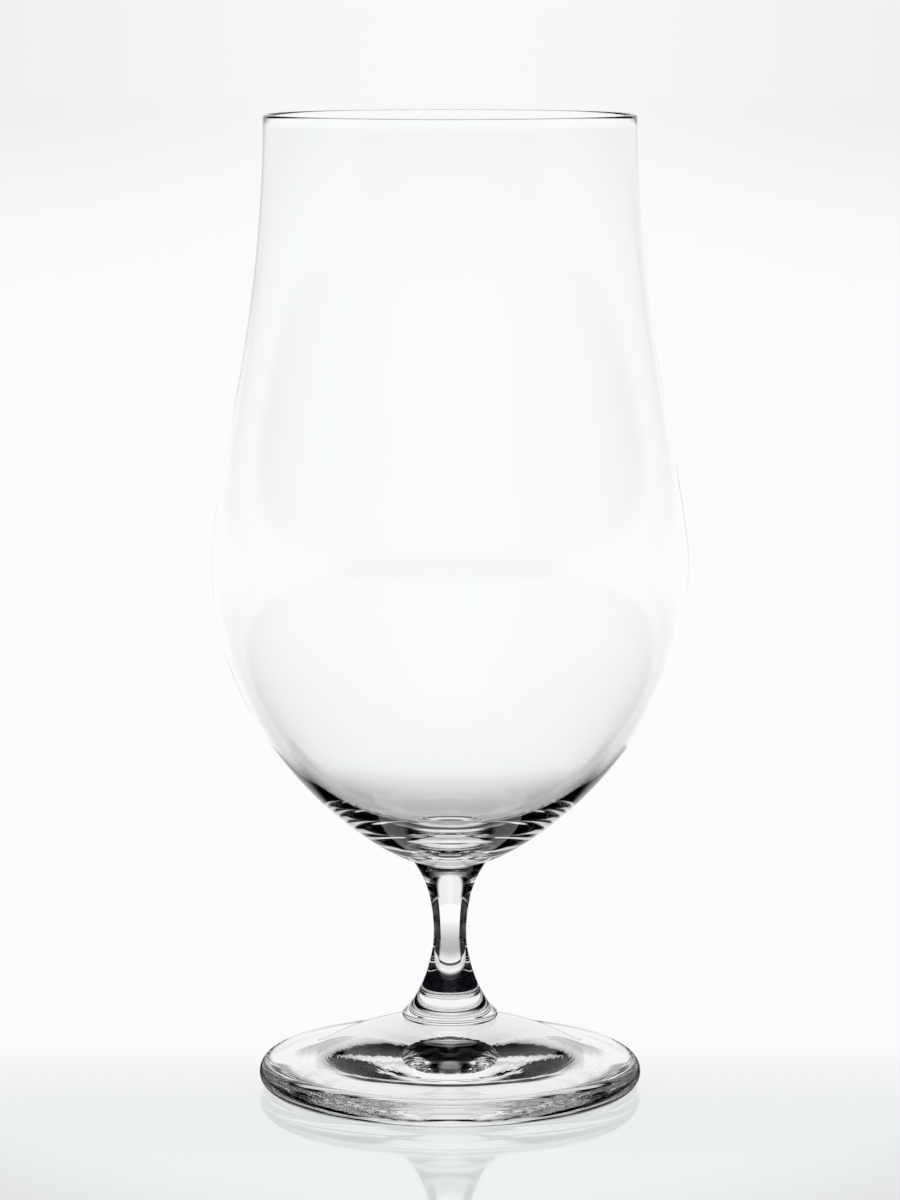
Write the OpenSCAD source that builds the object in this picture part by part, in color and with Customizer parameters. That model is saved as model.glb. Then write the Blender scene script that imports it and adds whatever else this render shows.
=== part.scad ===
// Stemmed pilsner glass of clear soda-lime glass, standing on the table with its axis on +Z.
// Three gathers of glass meet at flat faces: a blown bowl, a solid drawn stem and a pressed foot.

/* [Bowl] */
// Outer diameter at the rim
mouth_d = 68; // [60:1:78]
// Outer diameter at the widest point of the belly
belly_d = 87.9; // [80:0.1:98]
// Height of the bowl, from the stem to the rim
bowl_h = 137.6; // [124:0.1:150]
// Height of the widest point above the stem
belly_h = 55.2; // [48:0.1:64]
// Wall at the rim, which is melted round
rim_wall = 1.1; // [0.8:0.05:1.8]
// Wall at the widest point of the belly
belly_wall = 1.2; // [0.9:0.05:2]
// Glass under the lowest point of the inside
floor_t = 4.1; // [3:0.1:7]

/* [Stem] */
// Length of the stem, from the foot to the bowl
stem_l = 29.8; // [26:0.1:60]
// Diameter where the stem carries the bowl
seat_d = 13.8; // [11:0.1:17]
// Diameter at the narrowest point
waist_d = 6.1; // [5:0.1:8]
// Height of the narrowest point above the foot
waist_h = 15.5; // [13:0.1:18]
// Diameter of the collar at the lower end
collar_d = 17.8; // [15:0.1:21]
// Radius of the collar's rounded edge
collar_r = 0.75; // [0.3:0.05:1.2]

/* [Foot] */
// Diameter of the foot
foot_d = 71; // [62:0.5:82]
// Height of the foot, from the table to the stem
foot_h = 12.6; // [10:0.1:16]
// Thickness of the rounded edge
edge_t = 5.3; // [4:0.1:7]
// Width of the flat ring that rests on the table
rest_w = 2.6; // [1:0.1:4]
// Depth of the hollow under the foot
hollow_h = 3.6; // [1.5:0.1:5]

/* [Hidden] */
$fn = 96;
// Segments along each curve, and along each rounded edge
curve_steps = 22;
edge_steps = 10;
// Steepness of each outline where two pieces meet, in degrees from level
under_angle = 18;
seat_angle = 59;
collar_angle = 41;
joint_angle = 12.7;
shoulder_angle = 0;
// How far each curve holds its direction at its ends, as a share of its run
mouth_hold_share = 0.466;
belly_rise_share = 0.171;
belly_drop_share = 0.563;
under_hold_share = 0.295;
inside_drop_share = 0.485;
inside_floor_share = 0.572;
seat_hold_share = 0.7;
waist_rise_share = 0.63;
waist_drop_share = 0.26;
collar_hold_share = 0.82;
joint_hold_share = 0.79;
shoulder_hold_share = 0.415;
hollow_roof_share = 0.785;
hollow_foot_share = 0.31;
// Heights above the table
stem_z = foot_h;
bowl_z = stem_z + stem_l;
belly_z = bowl_z + belly_h;
rim_z = bowl_z + bowl_h;
floor_z = bowl_z + floor_t;
waist_z = stem_z + waist_h;
// Radii that two pieces share
seat_r = seat_d / 2;
joint_r = collar_d / 2 - collar_r;

// Direction that is a number of degrees above level
function heading(angle) = [cos(angle), sin(angle)];
// Point at share t along the curve that leaves a towards b and reaches d from c
function curve_point(a, b, c, d, t) =
    pow(1 - t, 3) * a + 3 * t * pow(1 - t, 2) * b + 3 * t * t * (1 - t) * c + pow(t, 3) * d;
// Points of that curve, without its last one
function curve(a, b, c, d) = [for (i = [0 : curve_steps - 1]) curve_point(a, b, c, d, i / curve_steps)];
// Points of the arc about a centre, from one direction to another
function arc(centre, r, from, to) =
    [for (i = [0 : edge_steps]) centre + r * heading(from + (to - from) * i / edge_steps)];

// Bowl wall between the belly and the rim, at a wall's thickness inside the outer face
function upper_wall(belly_in, rim_in) = let (
        low = [belly_d / 2 - belly_in, belly_z],
        high = [mouth_d / 2 - rim_in, rim_z - rim_wall / 2],
        run = high[1] - low[1]
    ) curve(low, low + [0, belly_rise_share * run], high - [0, mouth_hold_share * run], high);

// Outside of the bowl under the belly, from the stem up
function bowl_under() = let (
        low = [seat_r, bowl_z],
        high = [belly_d / 2, belly_z],
        hold = under_hold_share * (high[0] - low[0])
    ) curve(low, low + hold * heading(under_angle), high - [0, belly_drop_share * belly_h], high);

// Inside of the bowl under the belly, from the middle of the floor up
function bowl_floor() = let (
        low = [0, floor_z],
        high = [belly_d / 2 - belly_wall, belly_z],
        drop = inside_drop_share * (high[1] - low[1])
    ) curve(low, low + [inside_floor_share * high[0], 0], high - [0, drop], high);

function reversed(points) = [for (i = [len(points) - 1 : -1 : 0]) points[i]];

// Blown bowl: it narrows from the belly to the mouth, and its wall thickens into the floor
module bowl() {
    rim_r = rim_wall / 2;
    outside = concat(bowl_under(), upper_wall(0, 0));
    rim = arc([mouth_d / 2 - rim_r, rim_z - rim_r], rim_r, 0, 180);
    inside = concat(bowl_floor(), upper_wall(belly_wall, rim_wall));
    color("azure", 0.4)
        rotate_extrude()
            polygon(concat([[0, bowl_z]], outside, rim, reversed(inside)));
}

// Solid stem: it flares to carry the bowl above, and to a rounded collar on the foot below
module stem() {
    centre = [joint_r, stem_z + collar_r];
    collar_top = centre + collar_r * heading(90 - collar_angle);
    waist = [waist_d / 2, waist_z];
    seat = [seat_r, bowl_z];
    drop = waist_z - collar_top[1];
    rise = bowl_z - waist_z;
    flare = collar_hold_share * (collar_top[0] - waist[0]);
    spread = seat_hold_share * (seat[0] - waist[0]);
    cone = curve(
        collar_top,
        collar_top + flare * heading(180 - collar_angle),
        waist - [0, waist_drop_share * drop],
        waist
    );
    neck = curve(waist, waist + [0, waist_rise_share * rise], seat - spread * heading(seat_angle), seat);
    collar = arc(centre, collar_r, -90, 90 - collar_angle);
    color("azure", 0.4)
        rotate_extrude()
            polygon(concat([[0, stem_z]], collar, cone, neck, [seat, [0, bowl_z]]));
}

// Pressed foot: a shallow dome with a round edge, hollow underneath inside its flat rest ring
module foot() {
    edge_r = edge_t / 2;
    centre = [foot_d / 2 - edge_r, edge_r];
    shoulder = centre + edge_r * heading(90 - shoulder_angle);
    joint = [joint_r, foot_h];
    rest = [centre[0] - rest_w, 0];
    run = shoulder[0] - joint[0];
    roof = [0, hollow_h];
    hollow = curve(
        roof,
        roof + [hollow_roof_share * rest[0], 0],
        rest - [hollow_foot_share * rest[0], 0],
        rest
    );
    edge = arc(centre, edge_r, -90, 90 - shoulder_angle);
    dome = curve(
        shoulder,
        shoulder + shoulder_hold_share * run * heading(180 - shoulder_angle),
        joint + joint_hold_share * run * heading(-joint_angle),
        joint
    );
    color("azure", 0.4)
        rotate_extrude()
            polygon(concat(hollow, [rest], edge, dome, [joint, [0, foot_h]]));
}

bowl();
stem();
foot();
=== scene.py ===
"""Stemmed pilsner glass of clear glass on a pale glossy table, in soft light before a bright background."""

import math

import bpy
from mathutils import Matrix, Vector


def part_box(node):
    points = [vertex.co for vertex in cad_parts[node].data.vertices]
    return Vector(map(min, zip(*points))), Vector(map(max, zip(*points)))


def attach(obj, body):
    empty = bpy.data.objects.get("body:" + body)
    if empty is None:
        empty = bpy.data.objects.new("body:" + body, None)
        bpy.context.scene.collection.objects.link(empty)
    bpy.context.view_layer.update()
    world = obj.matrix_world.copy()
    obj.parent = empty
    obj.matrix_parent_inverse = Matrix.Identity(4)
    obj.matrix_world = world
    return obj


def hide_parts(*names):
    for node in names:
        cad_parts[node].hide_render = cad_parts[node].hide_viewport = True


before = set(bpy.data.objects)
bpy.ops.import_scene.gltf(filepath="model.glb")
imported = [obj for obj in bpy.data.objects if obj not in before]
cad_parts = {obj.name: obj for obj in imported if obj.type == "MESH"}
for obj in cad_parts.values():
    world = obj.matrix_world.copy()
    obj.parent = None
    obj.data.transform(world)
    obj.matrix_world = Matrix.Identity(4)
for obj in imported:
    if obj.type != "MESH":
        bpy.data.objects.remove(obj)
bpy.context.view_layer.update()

# Sizes that the frame's boxes don't give, in metres
MM = 0.001
MOUTH_R = 34 * MM
RIM_WALL = 1.1 * MM
BELLY_WALL = 1.2 * MM
BELLY_H = 55.2 * MM
FLOOR_T = 4.1 * MM
SEAT_R = 6.9 * MM
WAIST_R = 3.05 * MM
WAIST_H = 15.5 * MM
COLLAR_R = 0.75 * MM
EDGE_T = 5.3 * MM
REST_W = 2.6 * MM
HOLLOW_H = 3.6 * MM

# Steepness of each outline where two pieces meet, in degrees from level
UNDER_ANGLE = 18
SEAT_ANGLE = 59
COLLAR_ANGLE = 41
JOINT_ANGLE = 12.7
SHOULDER_ANGLE = 0

# How far each curve holds its direction at its ends, as a share of its run
MOUTH_HOLD_SHARE = 0.466
BELLY_RISE_SHARE = 0.171
BELLY_DROP_SHARE = 0.563
UNDER_HOLD_SHARE = 0.295
INSIDE_DROP_SHARE = 0.485
INSIDE_FLOOR_SHARE = 0.572
SEAT_HOLD_SHARE = 0.7
WAIST_RISE_SHARE = 0.63
WAIST_DROP_SHARE = 0.26
COLLAR_HOLD_SHARE = 0.82
JOINT_HOLD_SHARE = 0.79
SHOULDER_HOLD_SHARE = 0.415
HOLLOW_ROOF_SHARE = 0.785
HOLLOW_FOOT_SHARE = 0.31

# Fineness of the meshes, the turn that makes an edge sharp, and the length that counts as none
ROUND_STEPS = 384
CURVE_STEPS = 72
EDGE_STEPS = 18
SHARP_TURN = math.radians(12)
TINY = 1e-7

# Material slots of a piece: its glass, and the level faces where it meets another piece
GLASS, SEAM = 0, 1

# Clear glass: how it bends and mirrors light, its tint, and the share of the soft light that passes it
GLASS_IOR = 1.5
GLASS_GLARE = (0.25, 0.25, 0.25, 1)
TINT_DEPTH = 0.006
LIGHT_PASSED = (0.93, 0.93, 0.93, 1)

# Marks of the making: how deep and how fine they are, and how they stretch along X, Y and Z
BLOWN_WAVES = (0.05 * MM, 60, (1, 1, 0.3))
DRAWN_LINES = (0.02 * MM, 300, (1, 1, 0.08))
PRESSED_RINGS = (0.015 * MM, 900, (1, 1, 1))

# Surroundings. A strength of 1 is white, and turns are in degrees away from straight behind the glass.
WHITE = (0.97, 0.98, 0.985, 1)
TURN_EDGE = 10

# Screen behind the glass, as the glass shows it: its half width, top and soft edge, in degrees and as a share
SCREEN_HALF, SCREEN_TOP, SCREEN_EDGE = 23, 40, 0.17

# Bright room in front of the glass: the turn where it starts, its bottom, top and soft edge, in degrees
FRONT_START, FRONT_LOW, FRONT_TOP, FRONT_EDGE = 150, 10, 55, 4

# Bright band along the horizon: its strength, the turn where it ends, its top and its soft edge
LOW_LIGHT, LOW_END, LOW_TOP, LOW_EDGE = 0.95, 122, 5, 1.5

# Brightness straight behind the glass, how far it falls to the sides, and the turn where the fall ends
BACKDROP, BACKDROP_FALL, BACKDROP_TURN = 0.965, 0.08, 8

# Table: half its side, how far it lies under the foot, its colour in the soft light, and the near black of the
# painted shade that the glass shows on it
TABLE_HALF = 8
TABLE_GAP = 0.02 * MM
TABLE_COLOR = (0.89, 0.912, 0.91, 1)
TABLE_PAINTED_SHADE = (0.006, 0.006, 0.009, 1)
TABLE_ROUGHNESS, TABLE_IOR = 0.05, 1.5

# As the camera sees the table: how far away its haze starts, and how far away it is full
HAZE_START, HAZE_END = 1.2, 7

# Its glow: where along Y it starts and where it is full, and its share there
NEAR_Y, FAR_Y, GLOW_SHARE = -65 * MM, 40 * MM, 0.9

# Its shade in front of the glass: how deep it is, and the radii where it starts to fade and where it ends
SHADE, SHADE_R, SHADE_END = 0.22, 110 * MM, 275 * MM

# Its mirror: the radii where it starts to fade and where it ends
MIRROR_R, MIRROR_END = 70 * MM, 125 * MM

# As the glass shows the table: half the width and the soft edge of the pale part straight behind, in degrees
OPEN_HALF, OPEN_EDGE = 25, 4

# Its dip in brightness, a painted shade ring round the foot: the radii where it is deepest and where it ends,
# and how deep it is
DIP_R, DIP_END, DIP_SHARE = 60 * MM, 260 * MM, 0.5

# Pale disc under the foot: its radius and soft edge, and the turns between which it reaches the foot's edge
DISC_R, DISC_EDGE = 30 * MM, 1 * MM
WIDE_START, WIDE_END, WIDE_EDGE = 25, 92, 6

# Painted dark spot of shade in the disc's middle: its radius, how much smaller it is past a turn, its soft edge,
# and that turn
SPOT_R, SPOT_SHRINK, SPOT_EDGE, SPOT_TURN = 20 * MM, 5 * MM, 2 * MM, 135

# Painted shade beside and in front of the glass, as the glass shows the table: its radius, a smaller one past a
# turn, and a soft edge's share
DARK_R, DARK_FRONT_R, DARK_TURN, DARK_EDGE = 112 * MM, 60 * MM, 68, 0.15

# Dark cards: how far they stand from the axis, their top, their first and last turn, and their colour
CARD_R, CARD_TOP = 90 * MM, 42 * MM
CARD_START, CARD_END, CARD_STEPS = 24, 70, 16
CARD_DARK, CARD_ROUGHNESS = (0.008, 0.008, 0.011, 1), 0.8

# A card is clear to what meets it at more than this many degrees from square, with a soft change
CARD_SLANT, CARD_SLANT_EDGE = 22, 2

# Camera: its place, its tilt down in degrees, and its sight length and picture height in pixels
CAMERA_AWAY, CAMERA_HEIGHT, CAMERA_TILT = 0.8172, 0.2018, 7.72
SIGHT_LENGTH, PICTURE_HEIGHT, SENSOR = 4479, 1200, 36
CAMERA_NEAR, CAMERA_FAR = 0.01, 100

# How often a ray may pass or meet glass, and how often it may be mirrored
GLASS_BOUNCES, MIRROR_BOUNCES = 40, 20


def heading(degrees):
    """Direction that is a number of degrees above level, in the outline's plane of radius and height."""
    return Vector((math.cos(math.radians(degrees)), math.sin(math.radians(degrees))))


def curve(a, b, c, d, steps=CURVE_STEPS):
    """Points of the curve that leaves a towards b and reaches d from c, without its last one."""
    found = []
    for i in range(steps):
        t = i / steps
        u = 1 - t
        found.append(u**3 * a + 3 * t * u * u * b + 3 * t * t * u * c + t**3 * d)
    return found


def arc(centre, radius, first, last):
    """Points of the arc about a centre, from one direction to another, in degrees."""
    turn = (last - first) / EDGE_STEPS
    return [centre + radius * heading(first + turn * i) for i in range(EDGE_STEPS + 1)]


def point(radius, height):
    """Point of an outline."""
    return Vector((radius, height))


def upper_wall(belly_r, belly_z, rim_r, rim_z):
    """Bowl wall between the belly and the rim."""
    low, high = point(belly_r, belly_z), point(rim_r, rim_z)
    run = rim_z - belly_z
    return curve(
        low,
        low + point(0, BELLY_RISE_SHARE * run),
        high - point(0, MOUTH_HOLD_SHARE * run),
        high,
    )


def bowl_outline():
    """Half section of the bowl, from the axis at the stem round to the axis at the floor of the inside."""
    low_corner, high_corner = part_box("bowl")
    bowl_z, rim_z, belly_r = low_corner.z, high_corner.z, high_corner.x
    belly_z = bowl_z + BELLY_H
    rim_r = RIM_WALL / 2
    low, belly = point(SEAT_R, bowl_z), point(belly_r, belly_z)
    hold = UNDER_HOLD_SHARE * (belly_r - SEAT_R)
    under = curve(
        low,
        low + hold * heading(UNDER_ANGLE),
        belly - point(0, BELLY_DROP_SHARE * BELLY_H),
        belly,
    )
    outside = under + upper_wall(belly_r, belly_z, MOUTH_R, rim_z - rim_r)
    rim = arc(point(MOUTH_R - rim_r, rim_z - rim_r), rim_r, 0, 180)
    floor = point(0, bowl_z + FLOOR_T)
    inner = point(belly_r - BELLY_WALL, belly_z)
    drop = INSIDE_DROP_SHARE * (inner.y - floor.y)
    bottom = curve(
        floor,
        floor + point(INSIDE_FLOOR_SHARE * inner.x, 0),
        inner - point(0, drop),
        inner,
    )
    inside = bottom + upper_wall(inner.x, belly_z, MOUTH_R - RIM_WALL, rim_z - rim_r)
    return [point(0, bowl_z)] + outside + rim + inside[::-1]


def stem_outline():
    """Half section of the stem, from the axis at the foot round to the axis at the bowl."""
    low_corner, high_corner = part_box("stem")
    stem_z, bowl_z = low_corner.z, high_corner.z
    centre = point(high_corner.x - COLLAR_R, stem_z + COLLAR_R)
    collar = arc(centre, COLLAR_R, -90, 90 - COLLAR_ANGLE)
    waist, seat = point(WAIST_R, stem_z + WAIST_H), point(SEAT_R, bowl_z)
    top = collar[-1]
    flare = COLLAR_HOLD_SHARE * (top.x - WAIST_R)
    spread = SEAT_HOLD_SHARE * (SEAT_R - WAIST_R)
    drop, rise = waist.y - top.y, bowl_z - waist.y
    cone = curve(
        top,
        top + flare * heading(180 - COLLAR_ANGLE),
        waist - point(0, WAIST_DROP_SHARE * drop),
        waist,
    )
    neck = curve(
        waist,
        waist + point(0, WAIST_RISE_SHARE * rise),
        seat - spread * heading(SEAT_ANGLE),
        seat,
    )
    return [point(0, stem_z)] + collar + cone[1:] + neck + [seat, point(0, bowl_z)]


def foot_outline():
    """Half section of the foot, from the axis of the hollow underneath round to the axis at the stem."""
    high_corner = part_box("foot")[1]
    edge_r, top_z = EDGE_T / 2, high_corner.z
    centre = point(high_corner.x - edge_r, edge_r)
    edge = arc(centre, edge_r, -90, 90 - SHOULDER_ANGLE)
    joint = point(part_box("stem")[1].x - COLLAR_R, top_z)
    shoulder = edge[-1]
    rest = point(centre.x - REST_W, 0)
    run = shoulder.x - joint.x
    roof = point(0, HOLLOW_H)
    hollow = curve(
        roof,
        roof + point(HOLLOW_ROOF_SHARE * rest.x, 0),
        rest - point(HOLLOW_FOOT_SHARE * rest.x, 0),
        rest,
    )
    dome = curve(
        shoulder,
        shoulder + SHOULDER_HOLD_SHARE * run * heading(180 - SHOULDER_ANGLE),
        joint + JOINT_HOLD_SHARE * run * heading(-JOINT_ANGLE),
        joint,
    )
    return hollow + [rest] + edge + dome[1:] + [joint, point(0, top_z)]


def revolved(name, outline, seam_heights):
    """A closed mesh, an outline turned about Z. Level stretches at a seam height get the seam's material."""
    mesh = bpy.data.meshes.new(name)
    verts, rings = [], []
    for p in outline:
        if p.x < TINY:
            rings.append([len(verts)])
            verts.append((0, 0, p.y))
            continue
        rings.append(range(len(verts), len(verts) + ROUND_STEPS))
        for k in range(ROUND_STEPS):
            turn = math.tau * k / ROUND_STEPS
            verts.append((p.x * math.cos(turn), p.x * math.sin(turn), p.y))
    faces, slots = [], []
    for (p, ring), (q, following) in zip(zip(outline, rings), zip(outline[1:], rings[1:])):
        level = abs(p.y - q.y) < TINY and any(abs(p.y - z) < TINY for z in seam_heights)
        for k in range(ROUND_STEPS):
            n = (k + 1) % ROUND_STEPS
            if len(ring) == 1:
                faces.append((ring[0], following[n], following[k]))
            elif len(following) == 1:
                faces.append((ring[k], ring[n], following[0]))
            else:
                faces.append((ring[k], ring[n], following[n], following[k]))
            slots.append(SEAM if level else GLASS)
    mesh.from_pydata(verts, [], faces)
    mesh.polygons.foreach_set("use_smooth", [True] * len(faces))
    mesh.polygons.foreach_set("material_index", slots)
    sharp_rings = {i for i in range(1, len(outline) - 1) if turns_sharply(outline, i)}
    ring_of = {v: i for i, ring in enumerate(rings) for v in ring}
    ends = [{ring_of[v] for v in edge.vertices} for edge in mesh.edges]
    sharp = [len(found) == 1 and found <= sharp_rings for found in ends]
    mesh.attributes.new("sharp_edge", "BOOLEAN", "EDGE").data.foreach_set("value", sharp)
    mesh.validate()
    mesh.update()
    return mesh


def turns_sharply(outline, i):
    """Whether an outline has an edge at one of its points."""
    before, after = outline[i] - outline[i - 1], outline[i + 1] - outline[i]
    return before.length > 0 and after.length > 0 and before.angle(after) > SHARP_TURN


class Nodes:
    """A short way to write a node tree."""

    def __init__(self, owner):
        owner.use_nodes = True
        self.tree = owner.node_tree
        self.tree.nodes.clear()

    def add(self, kind, inputs=(), **settings):
        """A node of a kind, with its settings and inputs. An input is a value, or a socket to link."""
        node = self.tree.nodes.new(kind)
        for key, value in settings.items():
            setattr(node, key, value)
        for key, value in dict(inputs).items():
            self.feed(node.inputs[key], value)
        return node

    def feed(self, socket, value):
        """Links another socket to a socket, or sets its value."""
        if isinstance(value, bpy.types.NodeSocket):
            self.tree.links.new(value, socket)
        else:
            socket.default_value = value

    def math(self, operation, a, b=0.0):
        """Result of an operation on one or two values."""
        return self.add("ShaderNodeMath", {0: a, 1: b}, operation=operation).outputs[0]

    def ramp(self, value, low, high):
        """0 at low and 1 at high, with a soft start and end. High may be the lower number."""
        inputs = {"Value": value, "From Min": low, "From Max": high}
        return self.add("ShaderNodeMapRange", inputs, interpolation_type="SMOOTHSTEP").outputs[0]

    def mix(self, factor, first, second):
        """A shader that goes from the first to the second."""
        return self.add("ShaderNodeMixShader", {0: factor, 1: first, 2: second}).outputs[0]

    def any_of(self, *values):
        """The largest of several shares."""
        found = values[0]
        for value in values[1:]:
            found = self.math("MAXIMUM", found, value)
        return found

    def all_of(self, *values):
        """The product of several shares."""
        found = values[0]
        for value in values[1:]:
            found = self.math("MULTIPLY", found, value)
        return found

    def less(self, start, *values):
        """A start less the product of several shares."""
        return self.math("SUBTRACT", start, self.all_of(*values))

    def length(self, a, b):
        """Length of a line whose two sides are given."""
        squares = self.math("MULTIPLY", a, a), self.math("MULTIPLY", b, b)
        return self.math("SQRT", self.math("ADD", *squares))

    def around(self, value, middle, half):
        """0 below a middle and 1 above it, with a soft change over half a width on both sides. The other way
        round where the half width is negative."""
        return self.ramp(value, middle - half, middle + half)

    def compass(self, x, y):
        """Degrees away from straight behind the glass."""
        turn = self.math("ARCTAN2", x, y)
        return self.math("MULTIPLY", self.math("ABSOLUTE", turn), math.degrees(1))

    def in_glass(self):
        """1 for what the glass or the table's mirror shows, and 0 for what the camera sees by itself."""
        path = self.add("ShaderNodeLightPath").outputs
        return self.any_of(path["Is Transmission Ray"], path["Is Glossy Ray"])

    def in_camera(self):
        """1 for what the camera sees by itself."""
        return self.add("ShaderNodeLightPath").outputs["Is Camera Ray"]

    def show(self, kind, shader):
        """Makes a shader the output of the tree."""
        self.add(kind, {"Surface": shader})


def new_material(name):
    """A material, and the short way to write its nodes."""
    material = bpy.data.materials.new(name)
    return material, Nodes(material)


def clear_glass(name, marks, in_rings=False):
    """Clear glass with faint marks of its making. The soft light passes it with a faint shadow."""
    depth, scale, stretch = marks
    material, nodes = new_material(name)
    place = nodes.add("ShaderNodeTexCoord").outputs["Object"]
    if in_rings:
        x, y, z = nodes.add("ShaderNodeSeparateXYZ", {0: place}).outputs
        place = nodes.add("ShaderNodeCombineXYZ", {0: nodes.length(x, y), 1: z}).outputs[0]
    spread = nodes.add("ShaderNodeMapping", {"Vector": place, "Scale": stretch}).outputs[0]
    wave = nodes.add("ShaderNodeTexNoise", {"Vector": spread, "Scale": scale, "Detail": 1}).outputs[0]
    uneven = nodes.add("ShaderNodeBump", {"Height": wave, "Strength": 1, "Distance": depth}).outputs[0]
    red = nodes.less(1, TINT_DEPTH, wave)
    tint = nodes.add("ShaderNodeCombineColor", {"Red": red, "Green": 1, "Blue": 1}).outputs[0]
    inputs = {
        "Base Color": tint,
        "Roughness": 0,
        "IOR": GLASS_IOR,
        "Transmission Weight": 1,
        "Specular Tint": GLASS_GLARE,
        "Normal": uneven,
    }
    glass = nodes.add("ShaderNodeBsdfPrincipled", inputs).outputs[0]
    shade = nodes.add("ShaderNodeBsdfTransparent", {"Color": LIGHT_PASSED}).outputs[0]
    path = nodes.add("ShaderNodeLightPath").outputs
    soft_light = nodes.any_of(path["Is Shadow Ray"], path["Is Diffuse Ray"])
    nodes.show("ShaderNodeOutputMaterial", nodes.mix(soft_light, glass, shade))
    return material


def seam_glass():
    """Where two pieces meet inside the glass, light goes straight on."""
    material, nodes = new_material("seam_glass")
    nodes.show("ShaderNodeOutputMaterial", nodes.add("ShaderNodeBsdfTransparent").outputs[0])
    return material


def placed(name, mesh, materials):
    """An object of a mesh and its materials, in the scene."""
    for material in materials:
        mesh.materials.append(material)
    made = bpy.data.objects.new(name, mesh)
    bpy.context.scene.collection.objects.link(made)
    return made


def piece(name, node, outline, seam_heights, materials):
    """A piece of the glass, which replaces a CAD node."""
    made = placed(name, revolved(name, outline, seam_heights), materials)
    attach(made, "root")
    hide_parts(node)


def backdrop(nodes, turn):
    """Brightness of the distance: a little less at the sides than straight behind the glass."""
    return nodes.less(BACKDROP, BACKDROP_FALL, nodes.ramp(turn, 0, BACKDROP_TURN))


def studio():
    """World. The glass shows a screen behind it, a bright room in front and dark sides. All else is pale."""
    world = bpy.data.worlds.new("studio")
    bpy.context.scene.world = world
    nodes = Nodes(world)
    direction = nodes.add("ShaderNodeTexCoord").outputs["Generated"]
    x, y, z = nodes.add("ShaderNodeSeparateXYZ", {0: direction}).outputs
    turn = nodes.compass(x, y)
    rise = nodes.math("MULTIPLY", nodes.math("ARCSINE", z), math.degrees(1))
    wide, tall = nodes.math("DIVIDE", turn, SCREEN_HALF), nodes.math("DIVIDE", rise, SCREEN_TOP)
    screen = nodes.around(nodes.length(wide, tall), 1, -SCREEN_EDGE)
    front = nodes.all_of(
        nodes.around(turn, FRONT_START, TURN_EDGE),
        nodes.around(rise, FRONT_LOW, FRONT_EDGE),
        nodes.around(rise, FRONT_TOP, -FRONT_EDGE),
    )
    low = nodes.all_of(
        LOW_LIGHT,
        nodes.around(rise, LOW_TOP, -LOW_EDGE),
        nodes.around(turn, LOW_END, -TURN_EDGE),
    )
    distance = backdrop(nodes, turn)
    strengths = nodes.all_of(nodes.any_of(screen, front, low), distance), 1, distance
    shown, plain, seen = [
        nodes.add("ShaderNodeBackground", {"Color": WHITE, "Strength": strength}).outputs[0]
        for strength in strengths
    ]
    direct = nodes.mix(nodes.in_camera(), plain, seen)
    nodes.show("ShaderNodeOutputWorld", nodes.mix(nodes.in_glass(), direct, shown))


def pale_in_glass(nodes, turn, away):
    """Where the glass shows the table pale: behind it, in a disc under it, and far from it. Elsewhere it shows
    painted shade.
    """
    behind = nodes.around(turn, OPEN_HALF, -OPEN_EDGE)
    back = nodes.all_of(behind, nodes.ramp(away, FOOT_R - SPOT_EDGE, FOOT_R))
    wide = nodes.all_of(nodes.around(turn, WIDE_START, WIDE_EDGE), nodes.around(turn, WIDE_END, -WIDE_EDGE))
    disc_r = nodes.math("ADD", DISC_R, nodes.all_of(wide, FOOT_R - DISC_R))
    disc = nodes.around(nodes.math("SUBTRACT", away, disc_r), 0, -DISC_EDGE)
    # Painted shade reaches out to this radius beside and in front of the glass
    dark_r = nodes.less(DARK_R, nodes.around(turn, DARK_TURN, OPEN_EDGE), DARK_R - DARK_FRONT_R)
    far = nodes.around(nodes.math("DIVIDE", away, dark_r), 1, DARK_EDGE)
    # Painted shade: a dark spot in the middle of the pale disc
    spot_r = nodes.less(SPOT_R, SPOT_SHRINK, nodes.around(turn, SPOT_TURN, TURN_EDGE))
    past_spot = nodes.around(nodes.math("SUBTRACT", away, spot_r), 0, SPOT_EDGE)
    # Painted shade: a darker ring round the foot
    painted_shade_ring = nodes.less(1, DIP_SHARE, nodes.ramp(away, DIP_END, DIP_R), nodes.ramp(away, FOOT_R, DIP_R))
    return nodes.all_of(nodes.any_of(back, disc, far), past_spot, painted_shade_ring)


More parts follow.
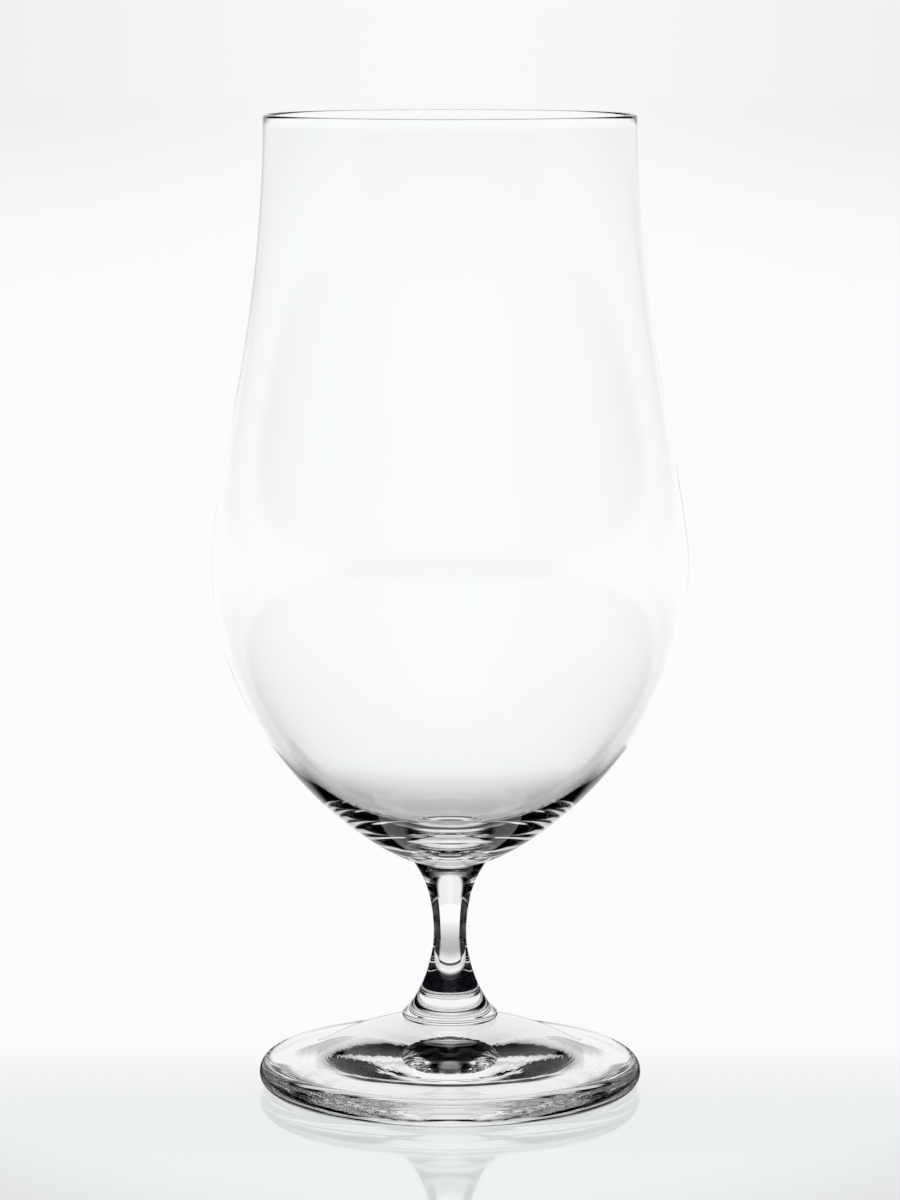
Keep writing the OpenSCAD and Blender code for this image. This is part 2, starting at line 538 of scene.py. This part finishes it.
def table():
    """The pale glossy table. Away from its pale parts, the glass shows it near black, as painted shade."""
    mesh = bpy.data.meshes.new("table")
    corners = [(TABLE_HALF * a, TABLE_HALF * b, -TABLE_GAP) for a, b in ((-1, -1), (1, -1), (1, 1), (-1, 1))]
    mesh.from_pydata(corners, [], [(0, 1, 2, 3)])
    material, nodes = new_material("table")
    place = nodes.add("ShaderNodeNewGeometry").outputs["Position"]
    x, y, _ = nodes.add("ShaderNodeSeparateXYZ", {0: place}).outputs
    turn, away = nodes.compass(x, y), nodes.length(x, y)
    haze = nodes.ramp(away, HAZE_START, HAZE_END)
    shade = nodes.all_of(SHADE, nodes.ramp(y, FAR_Y, NEAR_Y), nodes.ramp(away, SHADE_END, SHADE_R))
    fall = nodes.all_of(haze, nodes.less(1, backdrop(nodes, turn)))
    strength = nodes.math("SUBTRACT", 1, nodes.math("ADD", shade, fall))
    glow = nodes.add("ShaderNodeEmission", {"Color": WHITE, "Strength": strength}).outputs[0]
    dark = nodes.add("ShaderNodeBsdfDiffuse", {"Color": TABLE_PAINTED_SHADE}).outputs[0]
    coat = {"Base Color": TABLE_COLOR, "Roughness": TABLE_ROUGHNESS, "IOR": TABLE_IOR}
    mirror = nodes.add("ShaderNodeBsdfPrincipled", coat).outputs[0]
    no_mirror = nodes.any_of(nodes.ramp(y, NEAR_Y, FAR_Y), nodes.ramp(away, MIRROR_R, MIRROR_END))
    plain = nodes.any_of(nodes.all_of(GLOW_SHARE, no_mirror), haze)
    direct = nodes.mix(nodes.all_of(nodes.in_camera(), plain), mirror, glow)
    # The glass shows the table's glow where it is pale, and near black painted shade elsewhere
    shown = nodes.mix(pale_in_glass(nodes, turn, away), dark, glow)
    nodes.show("ShaderNodeOutputMaterial", nodes.mix(nodes.in_glass(), direct, shown))
    placed("table", mesh, [material])


def cards():
    """Two low dark cards beside the foot, which the glass and the table's mirror show and the camera doesn't."""
    mesh = bpy.data.meshes.new("side_cards")
    verts, faces = [], []
    for side in (-1, 1):
        first = len(verts)
        for k in range(CARD_STEPS + 1):
            turn = math.radians(CARD_START + (CARD_END - CARD_START) * k / CARD_STEPS) * side
            for height in (0, CARD_TOP):
                verts.append((CARD_R * math.sin(turn), CARD_R * math.cos(turn), height))
        for k in range(CARD_STEPS):
            a = first + 2 * k
            faces.append((a, a + 1, a + 3, a + 2))
    mesh.from_pydata(verts, [], faces)
    material, nodes = new_material("side_cards")
    black = {"Base Color": CARD_DARK, "Roughness": CARD_ROUGHNESS}
    dark = nodes.add("ShaderNodeBsdfPrincipled", black).outputs[0]
    clear = nodes.add("ShaderNodeBsdfTransparent").outputs[0]
    facing = nodes.add("ShaderNodeLayerWeight", {"Blend": 0.5}).outputs["Facing"]
    slants = CARD_SLANT - CARD_SLANT_EDGE, CARD_SLANT + CARD_SLANT_EDGE
    low, high = [1 - math.cos(math.radians(slant)) for slant in slants]
    nodes.show("ShaderNodeOutputMaterial", nodes.mix(nodes.ramp(facing, low, high), dark, clear))
    made = placed("side_cards", mesh, [material])
    made.visible_camera = made.visible_diffuse = made.visible_shadow = False


FOOT_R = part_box("foot")[1].x
foot_top, bowl_bottom = [corner.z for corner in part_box("stem")]
seam = seam_glass()
blown, drawn = clear_glass("blown_glass", BLOWN_WAVES), clear_glass("drawn_glass", DRAWN_LINES)
pressed = clear_glass("pressed_glass", PRESSED_RINGS, in_rings=True)
piece("glass_bowl", "bowl", bowl_outline(), [bowl_bottom], [blown, seam])
piece("glass_stem", "stem", stem_outline(), [foot_top, bowl_bottom], [drawn, seam])
piece("glass_foot", "foot", foot_outline(), [foot_top], [pressed, seam])
studio()
table()
cards()

scene = bpy.context.scene
scene.view_settings.view_transform = "Standard"
scene.cycles.max_bounces = GLASS_BOUNCES
scene.cycles.transmission_bounces = GLASS_BOUNCES
scene.cycles.glossy_bounces = MIRROR_BOUNCES
scene.cycles.transparent_max_bounces = GLASS_BOUNCES
scene.cycles.caustics_refractive = False
scene.cycles.caustics_reflective = False

cam = bpy.data.cameras.new("camera")
cam.sensor_width = SENSOR
cam.lens = SIGHT_LENGTH * SENSOR / PICTURE_HEIGHT
cam.clip_start = CAMERA_NEAR
cam.clip_end = CAMERA_FAR
cam_obj = bpy.data.objects.new("camera", cam)
cam_obj.location = (0, -CAMERA_AWAY, CAMERA_HEIGHT)
cam_obj.rotation_euler = (math.radians(90 - CAMERA_TILT), 0, 0)
scene.collection.objects.link(cam_obj)
scene.camera = cam_obj
